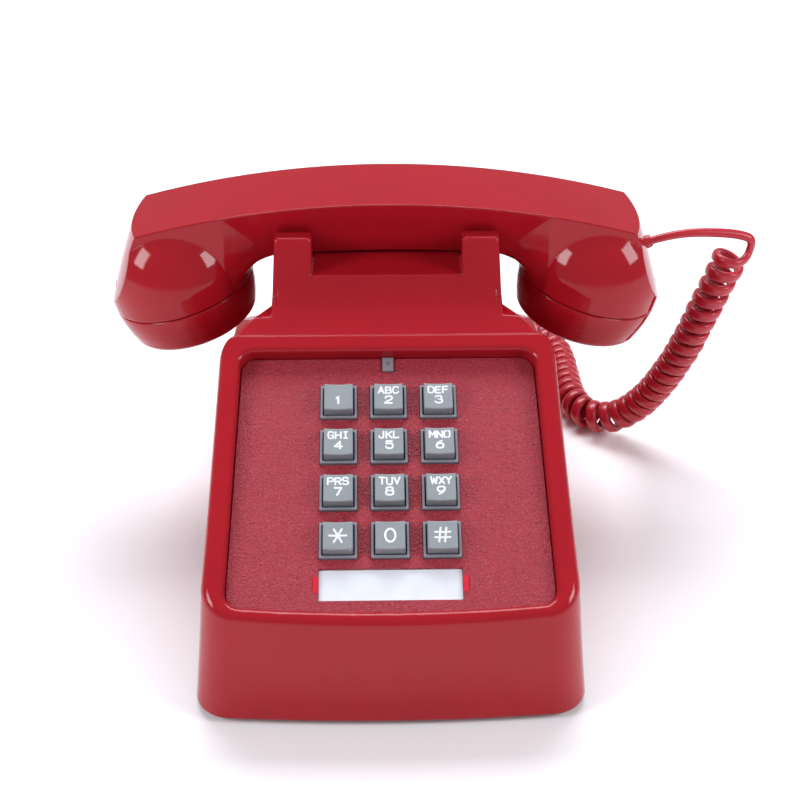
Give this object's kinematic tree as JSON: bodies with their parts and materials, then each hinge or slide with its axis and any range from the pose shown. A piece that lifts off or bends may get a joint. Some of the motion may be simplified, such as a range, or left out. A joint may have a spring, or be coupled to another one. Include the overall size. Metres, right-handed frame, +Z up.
{
  "type": "push-button desk telephone",
  "caption": "Push-button desk telephone with a sloping keypad panel, a handset resting across a horned cradle, a curly handset cord, and its ringer and hookswitch inside.",
  "frame": {"origin": "centre of the footprint, on the surface that the feet stand on", "axes": "+X to the right along the handset, +Y to the rear, +Z up"},
  "size_m": [0.2686, 0.267, 0.1436],
  "materials": {
    "red_gloss": "polished, moulded",
    "red_textured": "fine pebble grain",
    "key_grey": "satin",
    "grey_trim": "satin",
    "grey_frame": "satin",
    "card": "white card",
    "clear": "clear plastic",
    "silicone": "matt",
    "board": "printed board",
    "black_plastic": "satin",
    "steel_plate": "painted",
    "steel": "plated",
    "rubber": "matt",
    "red_plunger": "polished",
    "gong_brass": "satin",
    "copper": "enamelled wire",
    "aluminium": "spun",
    "cord": "satin, flexible"
  },
  "bodies": {
    "base": {"housing": "red_gloss", "keypad_panel": "red_textured", "number_card": "card", "number_card_window": "clear", "panel_catch": "grey_trim", "keypad_frame": "grey_frame", "keypad_dome_mat": "silicone", "keypad_board": "board", "keypad_rails": "black_plastic", "base_plate": "steel_plate", "rubber_feet": "rubber", "housing_screws": "steel", "hookswitch_pin": "steel", "hookswitch_bracket": "steel", "hookswitch_contacts": "black_plastic", "gong_left": "gong_brass", "gong_right": "gong_brass", "gong_posts": "steel", "gong_screws": "steel", "ringer_coil": "copper", "ringer_bobbin": "black_plastic", "ringer_frame": "steel", "network_board": "board", "network_components": "black_plastic", "board_standoffs": "black_plastic", "line_jack": "black_plastic", "handset_jack": "black_plastic", "cord_plug": "clear", "cord_coil": "cord", "cord_tail": "cord"},
    "handset": {"handset_shell": "red_gloss", "earpiece_cap": "red_gloss", "mouthpiece_cap": "red_gloss", "receiver_capsule": "aluminium", "transmitter_capsule": "aluminium", "transmitter_cup": "black_plastic", "receiver_ring": "black_plastic", "handset_grommet": "cord", "cord_lead": "cord"},
    "plunger_left": {"hook_plunger_left": "red_plunger"},
    "plunger_right": {"hook_plunger_right": "red_plunger"},
    "hook_lever": {"hookswitch_lever": "steel"},
    "clapper": {"ringer_clapper": "gong_brass"},
    "key_1": {"key_1": "key_grey"},
    "key_2": {"key_2": "key_grey"},
    "key_3": {"key_3": "key_grey"},
    "key_4": {"key_4": "key_grey"},
    "key_5": {"key_5": "key_grey"},
    "key_6": {"key_6": "key_grey"},
    "key_7": {"key_7": "key_grey"},
    "key_8": {"key_8": "key_grey"},
    "key_9": {"key_9": "key_grey"},
    "key_star": {"key_star": "key_grey"},
    "key_0": {"key_0": "key_grey"},
    "key_hash": {"key_hash": "key_grey"}
  },
  "joints": [
    {"name": "handset_lift", "type": "slide", "parent": "base", "child": "handset", "axis": [0, 0, 1], "range_m": [0, 0.09]},
    {"name": "plunger_left_rise", "type": "slide", "parent": "base", "child": "plunger_left", "axis": [0, 0, 1], "range_m": [0, 0.0062]},
    {"name": "plunger_right_rise", "type": "slide", "parent": "base", "child": "plunger_right", "axis": [0, 0, 1], "range_m": [0, 0.0062]},
    {"name": "hook_lever_turn", "type": "hinge", "parent": "base", "child": "hook_lever", "pos_m": [0, 0.02, 0.094], "axis": [1, 0, 0], "range_deg": [0, 12.04]},
    {"name": "clapper_swing", "type": "hinge", "parent": "base", "child": "clapper", "pos_m": [0, 0.068, 0.02], "axis": [0, 0, 1], "range_deg": [-5, 5], "stiffness_Nm_per_rad": 0.0005},
    {"name": "key_1_press", "type": "slide", "parent": "base", "child": "key_1", "axis": [0, 0.454, -0.891], "range_m": [0, 0.003], "stiffness_N_per_m": 150, "springref_m": -0.001},
    {"name": "key_2_press", "type": "slide", "parent": "base", "child": "key_2", "axis": [0, 0.454, -0.891], "range_m": [0, 0.003], "stiffness_N_per_m": 150, "springref_m": -0.001},
    {"name": "key_3_press", "type": "slide", "parent": "base", "child": "key_3", "axis": [0, 0.454, -0.891], "range_m": [0, 0.003], "stiffness_N_per_m": 150, "springref_m": -0.001},
    {"name": "key_4_press", "type": "slide", "parent": "base", "child": "key_4", "axis": [0, 0.454, -0.891], "range_m": [0, 0.003], "stiffness_N_per_m": 150, "springref_m": -0.001},
    {"name": "key_5_press", "type": "slide", "parent": "base", "child": "key_5", "axis": [0, 0.454, -0.891], "range_m": [0, 0.003], "stiffness_N_per_m": 150, "springref_m": -0.001},
    {"name": "key_6_press", "type": "slide", "parent": "base", "child": "key_6", "axis": [0, 0.454, -0.891], "range_m": [0, 0.003], "stiffness_N_per_m": 150, "springref_m": -0.001},
    {"name": "key_7_press", "type": "slide", "parent": "base", "child": "key_7", "axis": [0, 0.454, -0.891], "range_m": [0, 0.003], "stiffness_N_per_m": 150, "springref_m": -0.001},
    {"name": "key_8_press", "type": "slide", "parent": "base", "child": "key_8", "axis": [0, 0.454, -0.891], "range_m": [0, 0.003], "stiffness_N_per_m": 150, "springref_m": -0.001},
    {"name": "key_9_press", "type": "slide", "parent": "base", "child": "key_9", "axis": [0, 0.454, -0.891], "range_m": [0, 0.003], "stiffness_N_per_m": 150, "springref_m": -0.001},
    {"name": "key_star_press", "type": "slide", "parent": "base", "child": "key_star", "axis": [0, 0.454, -0.891], "range_m": [0, 0.003], "stiffness_N_per_m": 150, "springref_m": -0.001},
    {"name": "key_0_press", "type": "slide", "parent": "base", "child": "key_0", "axis": [0, 0.454, -0.891], "range_m": [0, 0.003], "stiffness_N_per_m": 150, "springref_m": -0.001},
    {"name": "key_hash_press", "type": "slide", "parent": "base", "child": "key_hash", "axis": [0, 0.454, -0.891], "range_m": [0, 0.003], "stiffness_N_per_m": 150, "springref_m": -0.001}
  ],
  "couplings": [
    {"joint": "plunger_left_rise", "follows": "handset_lift", "ratio": 0.066667},
    {"joint": "plunger_right_rise", "follows": "handset_lift", "ratio": 0.066667},
    {"joint": "hook_lever_turn", "follows": "handset_lift", "rad_per_m": 2.2373}
  ]
}
